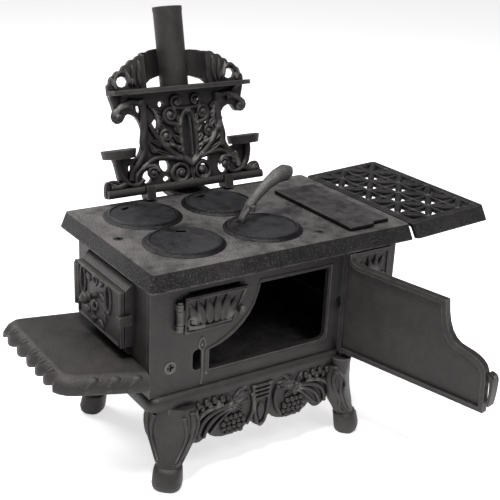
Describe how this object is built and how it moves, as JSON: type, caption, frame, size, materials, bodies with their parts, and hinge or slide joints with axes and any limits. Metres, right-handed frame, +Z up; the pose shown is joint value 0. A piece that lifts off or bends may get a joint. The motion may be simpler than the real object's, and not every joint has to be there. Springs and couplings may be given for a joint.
{
  "type": "cast iron toy stove",
  "caption": "Old cast iron toy cooking stove with hinged oven, fire and firebox doors, lift-off lids, openwork backsplash and side shelf, and a stovepipe.",
  "frame": {"origin": "on the floor under the middle of the whole outline, at rest", "axes": "+X to the stove's right along its front, +Y towards its back, +Z up"},
  "size_m": [0.3302, 0.2916, 0.282],
  "materials": {
    "cast_iron": "dull dark grey, fine sand-cast grain",
    "rough_iron": "dull grey, open sand-cast grain",
    "smooth_iron": "dull grey, rubbed smooth",
    "fastener_steel": "darkened steel, worn at the heads"
  },
  "bodies": {
    "stove": {"back_plate": "cast_iron", "backsplash": "cast_iron", "backsplash_screw_left": "fastener_steel", "backsplash_screw_right": "fastener_steel", "base_frame": "cast_iron", "bottom_plate": "rough_iron", "cooktop": "rough_iron", "cooktop_screw_left": "fastener_steel", "cooktop_screw_right": "fastener_steel", "fire_door_pin": "fastener_steel", "firebox_door_pin": "fastener_steel", "front_plate": "cast_iron", "left_end_plate": "cast_iron", "leg_back_left": "cast_iron", "leg_back_right": "cast_iron", "leg_front_left": "cast_iron", "leg_front_right": "cast_iron", "right_end_plate": "cast_iron", "tie_bolt_left": "fastener_steel", "tie_bolt_right": "fastener_steel", "tie_nut_left": "fastener_steel", "tie_nut_right": "fastener_steel"},
    "oven_door": {"oven_door": "cast_iron"},
    "fire_door": {"fire_door": "cast_iron"},
    "firebox_door": {"firebox_door": "cast_iron"},
    "hearth_plate": {"hearth_plate": "cast_iron"},
    "side_shelf": {"side_shelf": "cast_iron"},
    "lid_front_left": {"lid_front_left": "smooth_iron"},
    "lid_front_right": {"lid_front_right": "smooth_iron"},
    "lid_rear_left": {"lid_rear_left": "smooth_iron"},
    "lid_rear_right": {"lid_rear_right": "smooth_iron"},
    "lid_lifter": {"lid_lifter": "smooth_iron"},
    "reservoir_cover": {"reservoir_cover": "smooth_iron"},
    "stovepipe": {"stovepipe": "cast_iron"}
  },
  "joints": [
    {"name": "oven_door_hinge", "type": "hinge", "parent": "stove", "child": "oven_door", "pos_m": [0.04213, -0.03106, 0.1], "axis": [0, 0, 1], "range_deg": [-103.7, 20]},
    {"name": "fire_door_hinge", "type": "hinge", "parent": "stove", "child": "fire_door", "pos_m": [-0.08681, -0.02916, 0.118], "axis": [0, 0, 1], "range_deg": [-110, 0]},
    {"name": "firebox_door_hinge", "type": "hinge", "parent": "stove", "child": "firebox_door", "pos_m": [-0.11497, 0.05853, 0.113], "axis": [0, 0, 1], "range_deg": [-100, 0]},
    {"name": "hearth_plate_pull", "type": "slide", "parent": "stove", "child": "hearth_plate", "axis": [-1, 0, 0], "range_m": [0, 0.02]},
    {"name": "side_shelf_pull", "type": "slide", "parent": "stove", "child": "side_shelf", "axis": [1, 0, 0], "range_m": [0, 0.02]},
    {"name": "reservoir_cover_lift", "type": "slide", "parent": "stove", "child": "reservoir_cover", "axis": [0, 0, 1], "range_m": [0, 0.025]},
    {"name": "stovepipe_lift", "type": "slide", "parent": "stove", "child": "stovepipe", "axis": [0, 0.225, 0.9744], "range_m": [0, 0.04]},
    {"name": "lid_lifter_lift", "type": "slide", "parent": "lid_front_right", "child": "lid_lifter", "axis": [0, 0, 1], "range_m": [0, 0.03]},
    {"name": "lid_front_left_lift", "type": "slide", "parent": "stove", "child": "lid_front_left", "axis": [0, 0, 1], "range_m": [0, 0.025]},
    {"name": "lid_front_right_lift", "type": "slide", "parent": "stove", "child": "lid_front_right", "axis": [0, 0, 1], "range_m": [0, 0.025]},
    {"name": "lid_rear_left_lift", "type": "slide", "parent": "stove", "child": "lid_rear_left", "axis": [0, 0, 1], "range_m": [0, 0.022]},
    {"name": "lid_rear_right_lift", "type": "slide", "parent": "stove", "child": "lid_rear_right", "axis": [0, 0, 1], "range_m": [0, 0.022]}
  ]
}
